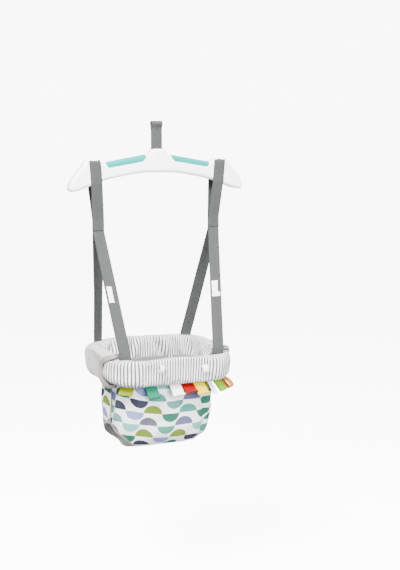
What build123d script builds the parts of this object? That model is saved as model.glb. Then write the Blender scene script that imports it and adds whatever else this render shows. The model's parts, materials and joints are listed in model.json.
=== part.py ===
from build123d import *
import math
import os

# Doorway baby jumper: a hanging strap, a plastic spreader bar with two rubber grips, a webbing
# harness and a fabric seat with a padded rim, a pouch with two leg openings and ribbon loops.
# Millimetres, +Z up, X along the bar, the seat faces -Y.
# The origin is the centre of the eye at the top of the hanging strap.

# webbing and its hanging strap
WEB_WIDTH = 25.4
WEB_PLY = 1.6
EYE_RADIUS = 5.0
PIN_RADIUS = 3.0
PIN_Z = -75.0
PIN_LENGTH = 36.0
RUNNING_CLEARANCE = 0.05
# well beyond the whole part, for cuts
FAR = 1000.0

# spreader bar
BAR_DEPTH = 30.0
BAR_EDGE_RADIUS = 8.0
BAR_WALL = 3.6
# right half of the bar's outline, from its top middle clockwise: x, z, corner radius
BAR_CORNERS = [
    (13.5, -55.5, 8.5), (20.5, -67, 12), (126, -85.6, 12), (139, -76.6, 12), (166, -77.2, 13),
    (182, -99.5, 30), (201, -120.5, 40), (212.5, -150.5, 9), (188, -147, 40), (120, -122.4, 200),
    (45, -108.5, 300),
]
STRAP_WELL_HALF_WIDTH = 13.6
STRAP_WELL_HALF_DEPTH = 9.6
STRAP_WELL_BOTTOM_Z = -82.0
WELL_WALL = 2.4
GRIP_DEPTH = 1.8
# the right grip's outline on the bar's face, reaching past the bar's upper edge: x, z
GRIP_OUTLINE = [(30, -50), (123, -50), (123, -90), (117, -97), (39, -84), (30, -75)]
SCREW_PLACES = [(45, -95), (105, -104), (183, -128)]
SCREW_RADIUS = 1.5
SCREW_HEAD_RADIUS = 3.0
SCREW_HEAD_DEPTH = 2.2
SCREW_POST_RADIUS = 4.2
SCREW_HEAD_CLEARANCE = 0.3
SCREW_HEAD_SINK = 1.0
SCREW_TIP_Y = -9.0

# strap slots and the loops that hang from them
SLOT_X = 149.0
SLOT_Z = -81.3
SLOT_HEIGHT = 3.4
SLOT_WIDTH = 27.4
STRAP_LEAN = 4.4
CHANNEL_DEPTH = 2.2
LOOP_STRAIGHT = 49.0
LOOP_LENGTH = 128.5
LOOP_SINK = 0.2
LOOP_TAIL_RADIUS = 1.7
SOLID_BLOCK_HALF = 17.0

# harness below the junctions
SWING_Z = -211.0
JUNCTION_X = 139.0
JUNCTION_GAP = 1.2
PATCH_WIDTH = 26.4
PATCH_THICK = 4.4
LEG_TOP_Z = -236.0
LEG_FOOT_X = 111.0
LEG_FOOT_Y = 105.0
LEG_FOOT_Z = -503.0
LABEL_TOP_Z = -355.0
LABEL_BOTTOM_Z = -392.0
LABEL_WIDTH = 20.0
LABEL_THICK = 0.6
ANCHOR_SIZE = (29.0, 9.0, 12.0)

# padded rim
RIM_HALF_X = 152.0
RIM_HALF_Y = 129.0
RIM_CORNER = 75.0
RIM_TOP_Z = -506.0
RIM_BOTTOM_Z = -566.0
RIM_THICK = 38.0
RIM_EDGE_RADIUS = 15.0
COVER_THICK = 2.0
FRONT_PAD_BACK_Y = -55.0
BINDING_THICK = 1.6
PAD_GAP = 0.3
HOOP_RADIUS = 2.5
HOOP_INSET = 19.0
HOOP_Z = -540.0
# x and z of the toy loops on the front pad
TOY_LOOP_PLACES = {"left": (-40.0, -532.0), "right": (64.0, -540.0)}
TOY_LOOP_SIZE = (13.0, 2.6, 17.0)
TOY_LOOP_ROUNDING = 1.0

# seam tape, pouch and lining
SEAM_HALF_X = 121.0
SEAM_HALF_Y = 99.0
SEAM_CORNER = 60.0
TAPE_THICK = 2.0
TAPE_TOP_Z = -564.6
TAPE_BOTTOM_Z = -573.0
POUCH_WALL = 2.2
LINING_THICK = 1.0
LAYER_GAP = 0.3
# how far each level of the pouch is taken in from its top, and the level
POUCH_SECTIONS = [
    (0.0, -564.2), (1.0, -620.0), (2.5, -665.0), (6.0, -695.0), (13.0, -713.0), (27.0, -729.0),
    (45.0, -738.0),
]
CORNER_TAPER = 0.5
SEWING_GAP = 0.2
OPEN_TOP = 5.0
SEAM_Y = -15.0
PIPING_WIDTH = 3.0
PIPING_PROUD = 0.9
PIPING_BOTTOM_Z = -690.0
LEG_HOLE_Y = -10.0
LEG_HOLE_TOP_Z = -672.0
LEG_HOLE_HALF_DEPTH = 66.0
LEG_HOLE_HALF_HEIGHT = 50.0
LEG_HOLE_INNER_X = 80.0
HOLE_BINDING_WIDTH = 5.0

# ribbon loops: name, place along the front seam from its middle, width, length, lift in degrees
RIBBONS = [
    ("lime", -102, 32, 31, 32),
    ("mint", -58, 27, 32, 22),
    ("white", -1, 26, 30, 36),
    ("red", 26.5, 27, 32, 40),
    ("yellow", 54.5, 26, 34, 36),
    ("olive", 72, 8, 26, 32),
    ("cream", 82, 11, 32, 36),
    ("green", 98.5, 21, 32, 45),
    ("orange", 121.5, 23, 36, 62),
]
RIBBON_THICK = 2.0
RIBBON_TOP_Z = -567.5
RIBBON_GAP = 0.6

SIDES = {"left": -1, "right": 1}


def block(x_range, y_range, z_range):
    """A box from its lowest and highest value along each axis."""
    size = [high - low for low, high in (x_range, y_range, z_range)]
    centre = [(high + low) / 2 for low, high in (x_range, y_range, z_range)]
    return Pos(*centre) * Box(*size)


def rod_along_y(radius, x, z, y_start, y_end):
    """A round rod along Y."""
    middle = (y_start + y_end) / 2
    return Pos(x, middle, z) * Rot(90, 0, 0) * Cylinder(radius, abs(y_end - y_start))


def rod_along_x(radius, y, z, length):
    """A round rod along X, centred on X = 0."""
    return Pos(0, y, z) * Rot(0, 90, 0) * Cylinder(radius, length)


def half_space(side):
    """Everything on one side of the middle plane."""
    return block(sorted((0, side * FAR)), (-FAR, FAR), (-FAR, FAR))


def mirrored(shape, side):
    """The shape itself on the right, its mirror image on the left."""
    return shape if side > 0 else shape.mirror(Plane.YZ)


# ---- hanging strap -------------------------------------------------------------------------

def make_hanging_strap():
    """Two plies of webbing with a sewn eye at the top and one round the bar's pin."""
    top_eye = rod_along_x(EYE_RADIUS + WEB_PLY, 0, 0, WEB_WIDTH)
    pin_eye = rod_along_x(PIN_RADIUS + RUNNING_CLEARANCE + WEB_PLY, 0, PIN_Z, WEB_WIDTH)
    stem = block((-WEB_WIDTH / 2, WEB_WIDTH / 2), (-WEB_PLY, WEB_PLY), (PIN_Z, 0))
    strap = top_eye + stem + pin_eye
    strap -= rod_along_x(EYE_RADIUS, 0, 0, 2 * WEB_WIDTH)
    strap -= rod_along_x(PIN_RADIUS + RUNNING_CLEARANCE, 0, PIN_Z, 2 * WEB_WIDTH)
    return strap


# ---- spreader bar --------------------------------------------------------------------------

def bar_outline():
    """The bar's front outline: a raised middle, drooping arms and turned-down ends."""
    right = [(x, z) for x, z, _ in BAR_CORNERS]
    left = [(-x, z) for x, z in reversed(right)]
    radii = [radius for _, _, radius in BAR_CORNERS]
    return make_face(FilletPolyline(*right, *left, radius=radii + radii[::-1], close=True))


def bar_solid(inset):
    """The whole bar with rounded edges, taken in by inset on every side."""
    outline = offset(bar_outline(), -inset) if inset else bar_outline()
    depth = BAR_DEPTH / 2 - inset
    body = extrude(Plane.XZ * outline, depth, both=True)
    faces = body.faces().filter_by(Axis.Y)
    return fillet(faces.edges(), BAR_EDGE_RADIUS - inset)


def grip_zone():
    """The stretch of the bar's upper edge that a grip covers, with slanted ends."""
    corners = Polyline(*GRIP_OUTLINE, close=True)
    return extrude(Plane.XZ * make_face(corners), BAR_DEPTH, both=True)


def slot_frame(side):
    """The place of a strap slot, leaning inwards with its strap."""
    return Pos(side * SLOT_X, 0, SLOT_Z) * Rot(0, side * STRAP_LEAN, 0)


def slot_cut(side):
    """A strap slot right through the bar with a channel below it on both faces."""
    half = SLOT_WIDTH / 2
    deep = BAR_DEPTH
    low = -SLOT_HEIGHT / 2
    cut = block((-half, half), (-deep, deep), (low, SLOT_HEIGHT / 2))
    floor = BAR_DEPTH / 2 - CHANNEL_DEPTH
    for face in (-1, 1):
        y_range = sorted((face * floor, face * deep))
        cut += block((-half, half), y_range, (-2 * LOOP_STRAIGHT, SLOT_HEIGHT / 2))
    return slot_frame(side) * cut


def strap_well():
    """The hollow in the middle of the bar where the hanging strap tilts on its pin."""
    half = STRAP_WELL_HALF_WIDTH
    deep = STRAP_WELL_HALF_DEPTH
    return block((-half, half), (-deep, deep), (STRAP_WELL_BOTTOM_Z, 0))


def screw_axes():
    """Screw places on both arms."""
    return [(side * x, z) for side in SIDES.values() for x, z in SCREW_PLACES]


def make_bar_shells():
    """Front and rear halves, hollow, with screw posts, the strap well and the strap slots."""
    outer = bar_solid(0)
    skin = outer - bar_solid(GRIP_DEPTH)
    hollow = bar_solid(BAR_WALL)
    well_half = STRAP_WELL_HALF_WIDTH + WELL_WALL
    hollow -= block((-well_half, well_half), (-BAR_DEPTH, BAR_DEPTH), (STRAP_WELL_BOTTOM_Z - WELL_WALL, 0))
    body = outer
    for side in SIDES.values():
        block_range = sorted((side * (SLOT_X - SOLID_BLOCK_HALF), side * (SLOT_X + SOLID_BLOCK_HALF)))
        hollow -= block(block_range, (-BAR_DEPTH, BAR_DEPTH), (-FAR, 0))
    for x, z in screw_axes():
        hollow -= rod_along_y(SCREW_POST_RADIUS, x, z, -BAR_DEPTH, BAR_DEPTH)
    body -= hollow
    for side in SIDES.values():
        body -= mirrored(skin & grip_zone(), side)
        body -= slot_cut(side)
    body -= strap_well()
    body -= rod_along_x(PIN_RADIUS, 0, PIN_Z, PIN_LENGTH)
    head_floor = BAR_DEPTH / 2 - SCREW_HEAD_DEPTH - SCREW_HEAD_SINK
    for x, z in screw_axes():
        body -= rod_along_y(SCREW_RADIUS, x, z, SCREW_TIP_Y, BAR_DEPTH)
        body -= rod_along_y(SCREW_HEAD_RADIUS + SCREW_HEAD_CLEARANCE, x, z, head_floor, BAR_DEPTH)
    front = body & block((-FAR, FAR), (-BAR_DEPTH, 0), (-FAR, FAR))
    rear = body & block((-FAR, FAR), (0, BAR_DEPTH), (-FAR, FAR))
    return front, rear


def make_grip(side):
    """A soft grip let into the bar's upper edge."""
    ring = bar_solid(0) - bar_solid(GRIP_DEPTH)
    return mirrored(ring & grip_zone(), side)


def make_screws():
    """Six self-tapping screws driven in from the rear."""
    head_floor = BAR_DEPTH / 2 - SCREW_HEAD_DEPTH - SCREW_HEAD_SINK
    screws = []
    for x, z in screw_axes():
        shank = rod_along_y(SCREW_RADIUS, x, z, SCREW_TIP_Y, head_floor)
        head = rod_along_y(SCREW_HEAD_RADIUS, x, z, head_floor, head_floor + SCREW_HEAD_DEPTH)
        screws.append(shank + head)
    return Compound(children=screws)


def make_bar_loop(side):
    """Webbing through the slot and round the arm, its two plies meeting at the junction."""
    outer_y = BAR_DEPTH / 2 - LOOP_SINK
    inner_y = outer_y - WEB_PLY
    half_ply = WEB_PLY / 2
    tail_y = LOOP_TAIL_RADIUS
    tail_z = -LOOP_LENGTH + tail_y
    outer = Polyline((-outer_y, half_ply), (outer_y, half_ply), (outer_y, -LOOP_STRAIGHT),
                     (tail_y, tail_z), (-tail_y, tail_z), (-outer_y, -LOOP_STRAIGHT), close=True)
    inner = Polyline((-inner_y, -half_ply), (inner_y, -half_ply), (inner_y, -LOOP_STRAIGHT),
                     (0, tail_z), (-inner_y, -LOOP_STRAIGHT), close=True)
    ring = make_face(Plane.YZ * outer) - make_face(Plane.YZ * inner)
    loop = extrude(ring, WEB_WIDTH / 2, both=True)
    loop += Pos(0, 0, tail_z) * Rot(0, 90, 0) * Cylinder(tail_y, WEB_WIDTH)
    return slot_frame(side) * loop


# ---- harness -------------------------------------------------------------------------------

def make_junction_patch(side):
    """The sewn overlap where the bar's loop meets the two seat straps."""
    half_thick = PATCH_THICK / 2
    top = SWING_Z - JUNCTION_GAP
    x_range = (-PATCH_WIDTH / 2, PATCH_WIDTH / 2)
    patch = block(x_range, (-half_thick, half_thick), (LEG_TOP_Z, top - half_thick))
    patch += rod_along_x(half_thick, 0, top - half_thick, PATCH_WIDTH)
    return Pos(side * JUNCTION_X, 0, 0) * patch


def leaning_slab(side, end, z_top, z_bottom, width, y_start, y_thick):
    """A flat piece along a seat strap: y_start and y_thick are measured out from its middle."""
    sections = []
    for z in (z_top, z_bottom):
        along = (z - LEG_TOP_Z) / (LEG_FOOT_Z - LEG_TOP_Z)
        x = side * (JUNCTION_X + along * (LEG_FOOT_X - JUNCTION_X))
        y = end * (WEB_PLY / 2 + along * (LEG_FOOT_Y - WEB_PLY / 2) + y_start + y_thick / 2)
        sections.append(Pos(x, y, z) * Rectangle(width, y_thick))
    return loft(sections, ruled=True)


def make_leg_strap(side, end):
    """One of the four webbing legs that spread from the junctions to the rim."""
    return leaning_slab(side, end, LEG_TOP_Z, LEG_FOOT_Z, WEB_WIDTH, -WEB_PLY / 2, WEB_PLY)


def make_strap_label(side):
    """A thin sewn label on the front strap."""
    return leaning_slab(side, -1, LABEL_TOP_Z, LABEL_BOTTOM_Z, LABEL_WIDTH, WEB_PLY / 2, LABEL_THICK)


# ---- padded rim ----------------------------------------------------------------------------

def rounded_plate(inset, z_low, z_high):
    """An upright rounded-rectangle block, taken in from the rim's outside by inset."""
    outline = RectangleRounded(2 * (RIM_HALF_X - inset), 2 * (RIM_HALF_Y - inset), RIM_CORNER - inset)
    return Pos(0, 0, z_low) * extrude(outline, z_high - z_low)


def rim_ring(inset):
    """The full padded ring, taken in by inset on every side."""
    z_low, z_high = RIM_BOTTOM_Z + inset, RIM_TOP_Z - inset
    ring = rounded_plate(inset, z_low, z_high) - rounded_plate(RIM_THICK - inset, z_low, z_high)
    edges = ring.edges().filter_by(Axis.Z, reverse=True)
    return fillet(edges, RIM_EDGE_RADIUS - inset)


def front_zone(back_y):
    """The space in front of an upright plane across the seat."""
    return block((-FAR, FAR), (-FAR, back_y), (-FAR, 0))


def make_hoop():
    """The springy hoop inside the rim that keeps the seat open."""
    half_x = RIM_HALF_X - HOOP_INSET
    half_y = RIM_HALF_Y - HOOP_INSET
    path = Pos(0, 0, HOOP_Z) * RectangleRounded(2 * half_x, 2 * half_y, RIM_CORNER - HOOP_INSET)
    section = Plane(origin=(0, -half_y, HOOP_Z), z_dir=(1, 0, 0)) * Circle(HOOP_RADIUS)
    return sweep(section, path=path.wires()[0])


def make_rim(hoop):
    """Covers and foam cores of the rear and front pads, and the bindings between them."""
    ring = rim_ring(0)
    core = rim_ring(COVER_THICK)
    strip_start = FRONT_PAD_BACK_Y + PAD_GAP
    strip_end = strip_start + BINDING_THICK
    pads = {
        "rear": (ring - front_zone(strip_end), core - front_zone(strip_end + COVER_THICK)),
        "front": (ring & front_zone(FRONT_PAD_BACK_Y), core & front_zone(FRONT_PAD_BACK_Y - COVER_THICK)),
    }
    nodes = {}
    for name, (pad, foam) in pads.items():
        nodes[f"rim_cover_{name}"] = pad - foam - hoop
        nodes[f"rim_foam_{name}"] = foam - hoop
    strips = (ring & front_zone(strip_end)) - front_zone(strip_start) - hoop
    for name, side in SIDES.items():
        nodes[f"{name}_rim_binding"] = strips & half_space(side)
    return nodes


def make_strap_anchors():
    """Four sewn reinforcements where the seat straps meet the top of the rim."""
    width, depth, height = ANCHOR_SIZE
    ring = rim_ring(0)
    anchors = []
    for x in (-LEG_FOOT_X, LEG_FOOT_X):
        for y in (-LEG_FOOT_Y, LEG_FOOT_Y):
            patch = Pos(x, y, LEG_FOOT_Z - height / 2) * Box(width, depth, height)
            anchors.append(patch - ring)
    return Compound(children=[largest(anchor) for anchor in anchors])


def largest(shape):
    """The biggest solid of a shape."""
    return max(shape.solids(), key=lambda solid: solid.volume)


def make_toy_loop(name):
    """A small flat fabric loop sewn on the face of the front pad."""
    x, z = TOY_LOOP_PLACES[name]
    width, thick, height = TOY_LOOP_SIZE
    loop = Pos(x, -RIM_HALF_Y - thick / 2, z) * Box(width, thick, height)
    outer_edges = loop.faces().sort_by(Axis.Y)[0].edges()
    return fillet(outer_edges, TOY_LOOP_ROUNDING)


# ---- pouch ---------------------------------------------------------------------------------

def pouch_solid(inset):
    """The pouch as a solid bucket, taken in by inset all round and at its bottom."""
    sections = []
    last = len(POUCH_SECTIONS) - 1
    for index, (taper, z) in enumerate(POUCH_SECTIONS):
        taken = TAPE_THICK + SEWING_GAP + taper + inset
        corner = SEAM_CORNER - CORNER_TAPER * taper - inset
        level = z + (inset if index == last else 0) + (OPEN_TOP if index == 0 and inset > 0 else 0)
        outline = RectangleRounded(2 * (SEAM_HALF_X - taken), 2 * (SEAM_HALF_Y - taken), corner)
        sections.append(Pos(0, 0, level) * outline)
    return loft(sections, ruled=True)


def leg_hole(side, margin):
    """The space that a leg opening takes out of the pouch, widened by margin."""
    half_depth = LEG_HOLE_HALF_DEPTH + margin
    half_height = LEG_HOLE_HALF_HEIGHT + margin
    outline = Plane.YZ * Ellipse(half_depth, half_height)
    tunnel = Pos(0, LEG_HOLE_Y, LEG_HOLE_TOP_Z - LEG_HOLE_HALF_HEIGHT) * outline
    cut = extrude(tunnel, FAR, dir=(1, 0, 0))
    keep = LEG_HOLE_INNER_X - margin
    cut -= block((-keep, keep), (-FAR, FAR), (-FAR, 0))
    return mirrored(cut, side)


def make_pouch():
    """Front and rear panels, side pipings, leg-opening bindings and the lining."""
    panel = pouch_solid(0) - pouch_solid(POUCH_WALL)
    thick = pouch_solid(-PIPING_PROUD) - pouch_solid(POUCH_WALL)
    lining_start = POUCH_WALL + LAYER_GAP
    lining = pouch_solid(lining_start) - pouch_solid(lining_start + LINING_THICK)
    top_cut = block((-FAR, FAR), (-FAR, FAR), (POUCH_SECTIONS[0][1], 0))
    thick -= top_cut
    lining -= top_cut
    half_piping = PIPING_WIDTH / 2
    seam = block((-FAR, FAR), (SEAM_Y - half_piping, SEAM_Y + half_piping),
                 (PIPING_BOTTOM_Z, POUCH_SECTIONS[0][1]))
    nodes = {}
    tape_zone = block((-FAR, FAR), (-FAR, FAR), (TAPE_BOTTOM_Z - LAYER_GAP, 0))
    for name, side in SIDES.items():
        wide = leg_hole(side, HOLE_BINDING_WIDTH)
        nodes[f"{name}_leg_binding"] = thick & (wide - leg_hole(side, 0))
        nodes[f"{name}_side_piping"] = (thick & seam & half_space(side)) - wide - tape_zone
        panel -= wide
        lining -= wide
    panel -= seam - tape_zone
    front_half = block((-FAR, FAR), (-FAR, SEAM_Y), (-FAR, 0))
    nodes["pouch_front_panel"] = panel & front_half
    nodes["pouch_rear_panel"] = panel - front_half
    nodes["seat_lining"] = lining
    return nodes


def make_seam_tape():
    """The tape that joins the pouch to the underside of the rim."""
    inner_size = (2 * (SEAM_HALF_X - TAPE_THICK), 2 * (SEAM_HALF_Y - TAPE_THICK))
    outline = RectangleRounded(2 * SEAM_HALF_X, 2 * SEAM_HALF_Y, SEAM_CORNER)
    outline -= RectangleRounded(*inner_size, SEAM_CORNER - TAPE_THICK)
    return Pos(0, 0, TAPE_BOTTOM_Z) * extrude(outline, TAPE_TOP_Z - TAPE_BOTTOM_Z)


# ---- ribbon loops --------------------------------------------------------------------------

def seam_place(along):
    """Point and outward heading in degrees on the front seam at a distance from its middle."""
    straight = SEAM_HALF_X - SEAM_CORNER
    side = math.copysign(1, along)
    turn = max(0.0, abs(along) - straight) / SEAM_CORNER
    x = side * (min(abs(along), straight) + SEAM_CORNER * math.sin(turn))
    y = -(SEAM_HALF_Y - SEAM_CORNER) - SEAM_CORNER * math.cos(turn)
    return x, y, side * math.degrees(turn)


def make_ribbon(along, width, length, lift):
    """A folded ribbon that stands off from the seam by its lift, with a rounded top and fold."""
    x, y, heading = seam_place(along)
    half = RIBBON_THICK / 2
    strip = block((-width / 2, width / 2), (-half, half), (-length, 0))
    for z in (0, -length):
        strip += rod_along_x(half, 0, z, width)
    hinge = Pos(x, y, RIBBON_TOP_Z - half) * Rot(0, 0, heading) * Pos(0, -half - RIBBON_GAP, 0)
    return hinge * Rot(-lift, 0, 0) * strip


# ---- everything ----------------------------------------------------------------------------

def build_nodes():
    """Every sub-part by its name."""
    nodes = {"hanging_strap": make_hanging_strap()}
    nodes["bar_front_shell"], nodes["bar_rear_shell"] = make_bar_shells()
    nodes["strap_pin"] = rod_along_x(PIN_RADIUS, 0, PIN_Z, PIN_LENGTH)
    nodes["bar_screws"] = make_screws()
    for name, side in SIDES.items():
        nodes[f"{name}_grip_insert"] = make_grip(side)
        nodes[f"{name}_bar_loop"] = make_bar_loop(side)
        nodes[f"{name}_junction_patch"] = make_junction_patch(side)
        nodes[f"{name}_front_strap"] = make_leg_strap(side, -1)
        nodes[f"{name}_rear_strap"] = make_leg_strap(side, 1)
        nodes[f"{name}_strap_label"] = make_strap_label(side)
        nodes[f"{name}_toy_loop"] = make_toy_loop(name)
    nodes["rim_hoop"] = make_hoop()
    nodes.update(make_rim(nodes["rim_hoop"]))
    nodes["strap_anchors"] = make_strap_anchors()
    nodes["seam_tape"] = make_seam_tape()
    nodes.update(make_pouch())
    for name, along, width, length, lift in RIBBONS:
        nodes[f"ribbon_{name}"] = make_ribbon(along, width, length, lift)
    return nodes


os.makedirs("parts", exist_ok=True)
for node_name, node_shape in build_nodes().items():
    export_step(node_shape, f"parts/{node_name}.step")
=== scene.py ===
import json
from math import copysign, cos, exp, hypot, pi, radians, sin, sqrt

import bpy
from mathutils import Matrix, Vector, noise


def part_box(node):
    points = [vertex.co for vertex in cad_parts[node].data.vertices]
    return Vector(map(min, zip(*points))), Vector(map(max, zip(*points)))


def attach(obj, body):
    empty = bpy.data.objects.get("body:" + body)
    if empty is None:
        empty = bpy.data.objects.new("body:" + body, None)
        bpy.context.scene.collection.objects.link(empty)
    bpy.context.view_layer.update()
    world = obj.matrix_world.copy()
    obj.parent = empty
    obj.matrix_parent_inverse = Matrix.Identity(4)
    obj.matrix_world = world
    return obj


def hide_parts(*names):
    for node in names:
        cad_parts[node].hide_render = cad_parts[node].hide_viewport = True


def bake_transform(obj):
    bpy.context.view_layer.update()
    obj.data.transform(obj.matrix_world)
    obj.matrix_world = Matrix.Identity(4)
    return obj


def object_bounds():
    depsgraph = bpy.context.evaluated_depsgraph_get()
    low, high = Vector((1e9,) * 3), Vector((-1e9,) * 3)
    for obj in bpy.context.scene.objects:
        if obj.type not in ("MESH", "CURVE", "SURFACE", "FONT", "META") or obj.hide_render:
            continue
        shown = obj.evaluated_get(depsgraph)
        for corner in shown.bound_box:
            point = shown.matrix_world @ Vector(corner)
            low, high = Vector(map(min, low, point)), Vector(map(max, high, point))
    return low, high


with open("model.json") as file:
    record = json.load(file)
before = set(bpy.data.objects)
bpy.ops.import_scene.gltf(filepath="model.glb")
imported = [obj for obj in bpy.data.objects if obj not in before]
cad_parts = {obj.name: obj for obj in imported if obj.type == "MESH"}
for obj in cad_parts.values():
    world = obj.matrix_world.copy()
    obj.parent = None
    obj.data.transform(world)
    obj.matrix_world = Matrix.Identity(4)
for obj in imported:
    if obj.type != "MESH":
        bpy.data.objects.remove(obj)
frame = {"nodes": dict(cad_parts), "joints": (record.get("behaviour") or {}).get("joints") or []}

# The looks of a baby doorway jumper: webbing, padded striped rim, printed pouch and ribbon loops,
# built round the CAD frame. Shapes are worked out in millimetres and written in metres.
MM = 0.001
CAD_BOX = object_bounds()
SIDES = {"left": -1, "right": 1}

# camera and light, in metres, radians and watts
CAMERA_PLACE = (-0.859, -2.310, -0.013)
CAMERA_PITCH = 0.142
CAMERA_HEADING = -0.3957
CAMERA_LENS = 68.7
SENSOR = 36.0
FLOOR_DROP = 0.35
DOME_RADIUS = 9000.0
BACKDROP_GLOW = 7.5
WORLD_STRENGTH = 1.3
# name, place, size and power of each light
LIGHTS = [
    ("key", (-1.6, -1.5, 2.0), 1.3, 540),
    ("fill", (0.3, -2.7, 0.3), 1.8, 230),
    ("top", (0.3, 0.5, 2.0), 1.4, 120),
]


def box_mm(node):
    """The lowest and highest corner of a CAD node's box, in millimetres."""
    return [Vector(corner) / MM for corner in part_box(node)]


# places read from the CAD frame, in millimetres
RIM_LOW, RIM_HIGH = box_mm("rim_cover_rear")
SEAM_LOW, SEAM_HIGH = box_mm("seam_tape")
POUCH_LOW = box_mm("pouch_rear_panel")[0]
JUNCTION_LOW, JUNCTION_HIGH = box_mm("right_junction_patch")
FOOT_LOW, FOOT_HIGH = box_mm("right_rear_strap")
LABEL_LOW, LABEL_HIGH = box_mm("right_strap_label")
LOOP_HIGH = box_mm("right_bar_loop")[1]
STRAP_LOW, STRAP_HIGH = box_mm("hanging_strap")
SWING = next(joint for joint in frame["joints"] if joint["name"] == "seat_swing")
SWING_Z = SWING["pos_m"][2] / MM

WEB_WIDTH = STRAP_HIGH.x - STRAP_LOW.x
WEB_PLY = 1.5
SELVEDGE = 1.3
JUNCTION_X = (JUNCTION_LOW.x + JUNCTION_HIGH.x) / 2
FOOT_X = FOOT_LOW.x + WEB_WIDTH / 2
FOOT_Y = FOOT_HIGH.y
FOOT_Z = FOOT_LOW.z
SLOT_X = LOOP_HIGH.x - WEB_WIDTH / 2
SLOT_Z = LOOP_HIGH.z - 2.0
LOOP_HALF_DEPTH = 13.9
LOOP_HALF_STACK = 2.45
LABEL_WIDTH = 19.0
# how far each seat strap turns about its length, by side and end, in radians
LEG_TWISTS = {(-1, -1): -0.3, (-1, 1): 0.42, (1, -1): -0.12, (1, 1): -0.3}

RIM_THICK = 38.0
RIM_CORNER = 75.0
RIM_SQUARENESS = 2.7
CUFF = 168.0
CUFF_OVERLAP = 22.0
FRONT_PAD_DROP = 6.5
SIDE_PAD_SAG = 9.0
CUFF_SWELL = 1.1
CUFF_SLANT = 1.0
RIM_BINDING_WIDTH = 11.0
RIM_BINDING_THICK = 2.4
PAD_STEP = 4.2
PAD_COLUMNS = 40
# folds on the inner face of the rear pad: place along the rim, push and width
RIM_CREASES = [
    (398, -15, 7), (378, 8, 8), (352, -16, 7), (330, 7, 8), (-405, -13, 8), (-380, 7, 9),
    (-352, -13, 8), (-318, 7, 9), (300, -11, 9),
]

POUCH_GAP = 2.2
TUCK_UNDER = 10.0
POUCH_DROP = 183.0
POUCH_LEAN = 9.0
POUCH_TUCK = 15.0
FRONT_LIFT = 9.0
POUCH_CORNER = 58.0
SIDE_SEAM_Y = -15.0
HOLE_Y = -10.0
HOLE_TOP_Z = -674.0
HOLE_HALF_DEPTH = 66.0
HOLE_HALF_HEIGHT = 50.0
HOLE_INNER_X = 80.0
HOLE_ROUNDING = 12.0
POUCH_COLUMNS = 240
POUCH_ROWS = 92
CLOTH_THICK = 1.1
LINING_INSIDE = 3.0
LINING_RISE = 4.5
LINING_RISE_FADE = 12.0
PRINT_FLAT_SHARE = 0.8
LEG_BINDING_WIDTH = 7.0
LEG_BINDING_THICK = 4.6
PIPING_RADIUS = 2.3
# hanging folds of the pouch: place along it, depth and width
POUCH_FOLDS = [(78, -7.5, 8), (101, 4.5, 9), (122, -6.0, 9), (-128, -3.0, 12), (22, -2.2, 16)]

STRIPE_PITCH = 6.2
STRIPE_SHARE = 0.52
STRIPE_DRIFT = 2.4

# inks: navy, lavender, lime, green, aqua, sage, slate, and the navy and teal of the dotted moons
PRINT_COLORS = {
    "N": (0.011, 0.0135, 0.034), "L": (0.17, 0.20, 0.40), "M": (0.115, 0.17, 0.001),
    "G": (0.001, 0.105, 0.056), "A": (0.13, 0.42, 0.37), "S": (0.042, 0.235, 0.18),
    "T": (0.082, 0.096, 0.175),
    "n": (0.008, 0.010, 0.025), "t": (0.001, 0.15, 0.125),
}
# half-moons of each printed row from the one left of the front's middle; small letters are dotted
PRINT_ROWS = [
    "AMLNGTSMGL", "StTGMANLGN", "MGSGLNTtNL", "nSTAGMLNtA", "MLMNSTGAnG", "NAGLMSTnAM", "LTMGNASMtG",
]
PRINT_REPEAT = len(PRINT_ROWS[0])
PRINT_PITCH = 42.5
PRINT_ROW_PITCH = 30.0
PRINT_FIRST_ROW = 31.0
PRINT_START = 48.0
PRINT_BOW = 0.0009
PRINT_BOW_REACH = 95.0
PRINT_SHIFT = 9.5
PRINT_TILT = 0.05
MOON_HEIGHT = 19.8
DOT_PITCH = 5.4
DOT_SIZE = 0.017

RIBBON_PLY = 0.45
RIBBON_STEPS = 14
FOLD_STEPS = 8
# ribbon loops: name, width, length, lift in degrees, gap at the fold, shift of the fold, colour
RIBBONS = [
    ("lime", 32, 25, 32, 4.0, -4, (0.15, 0.175, 0.003)),
    ("mint", 27, 30, 22, 5.0, 8, (0.002, 0.115, 0.065)),
    ("white", 26, 32, 36, 3.5, 7, (0.82, 0.81, 0.79)),
    ("red", 27, 29, 40, 4.0, 12, (0.15, 0.0, 0.0)),
    ("yellow", 26, 34, 36, 3.5, 11, (0.55, 0.38, 0.0)),
    ("olive", 9, 24, 32, 2.0, 2, (0.075, 0.085, 0.008)),
    ("cream", 12, 38, 36, 2.5, 4, (0.82, 0.80, 0.74)),
    ("green", 23, 38, 44, 5.0, 3, (0.15, 0.34, 0.01)),
    ("orange", 22, 40, 53, 12.0, -3, (0.46, 0.19, 0.0)),
]
# turn of a ribbon about the vertical, in degrees
SWIVEL = {"orange": -16.0}


# ---- mesh helpers

def add_object(name, data):
    """A new object in the scene."""
    made = bpy.data.objects.new(name, data)
    bpy.context.collection.objects.link(made)
    return made


def put_mesh(name, points, faces, corners=None, material=None, body=None):
    """A smooth mesh piece from points in millimetres, with a UV in metres for each face corner."""
    mesh = bpy.data.meshes.new(name)
    mesh.from_pydata([Vector(point) * MM for point in points], [], faces)
    if corners:
        layer = mesh.uv_layers.new(name="UVMap")
        for loop, (u, v) in zip(layer.data, corners):
            loop.uv = (u * MM, v * MM)
    for polygon in mesh.polygons:
        polygon.use_smooth = True
    piece = add_object(name, mesh)
    if material:
        mesh.materials.append(material)
    if body:
        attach(piece, body)
    return piece


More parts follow.
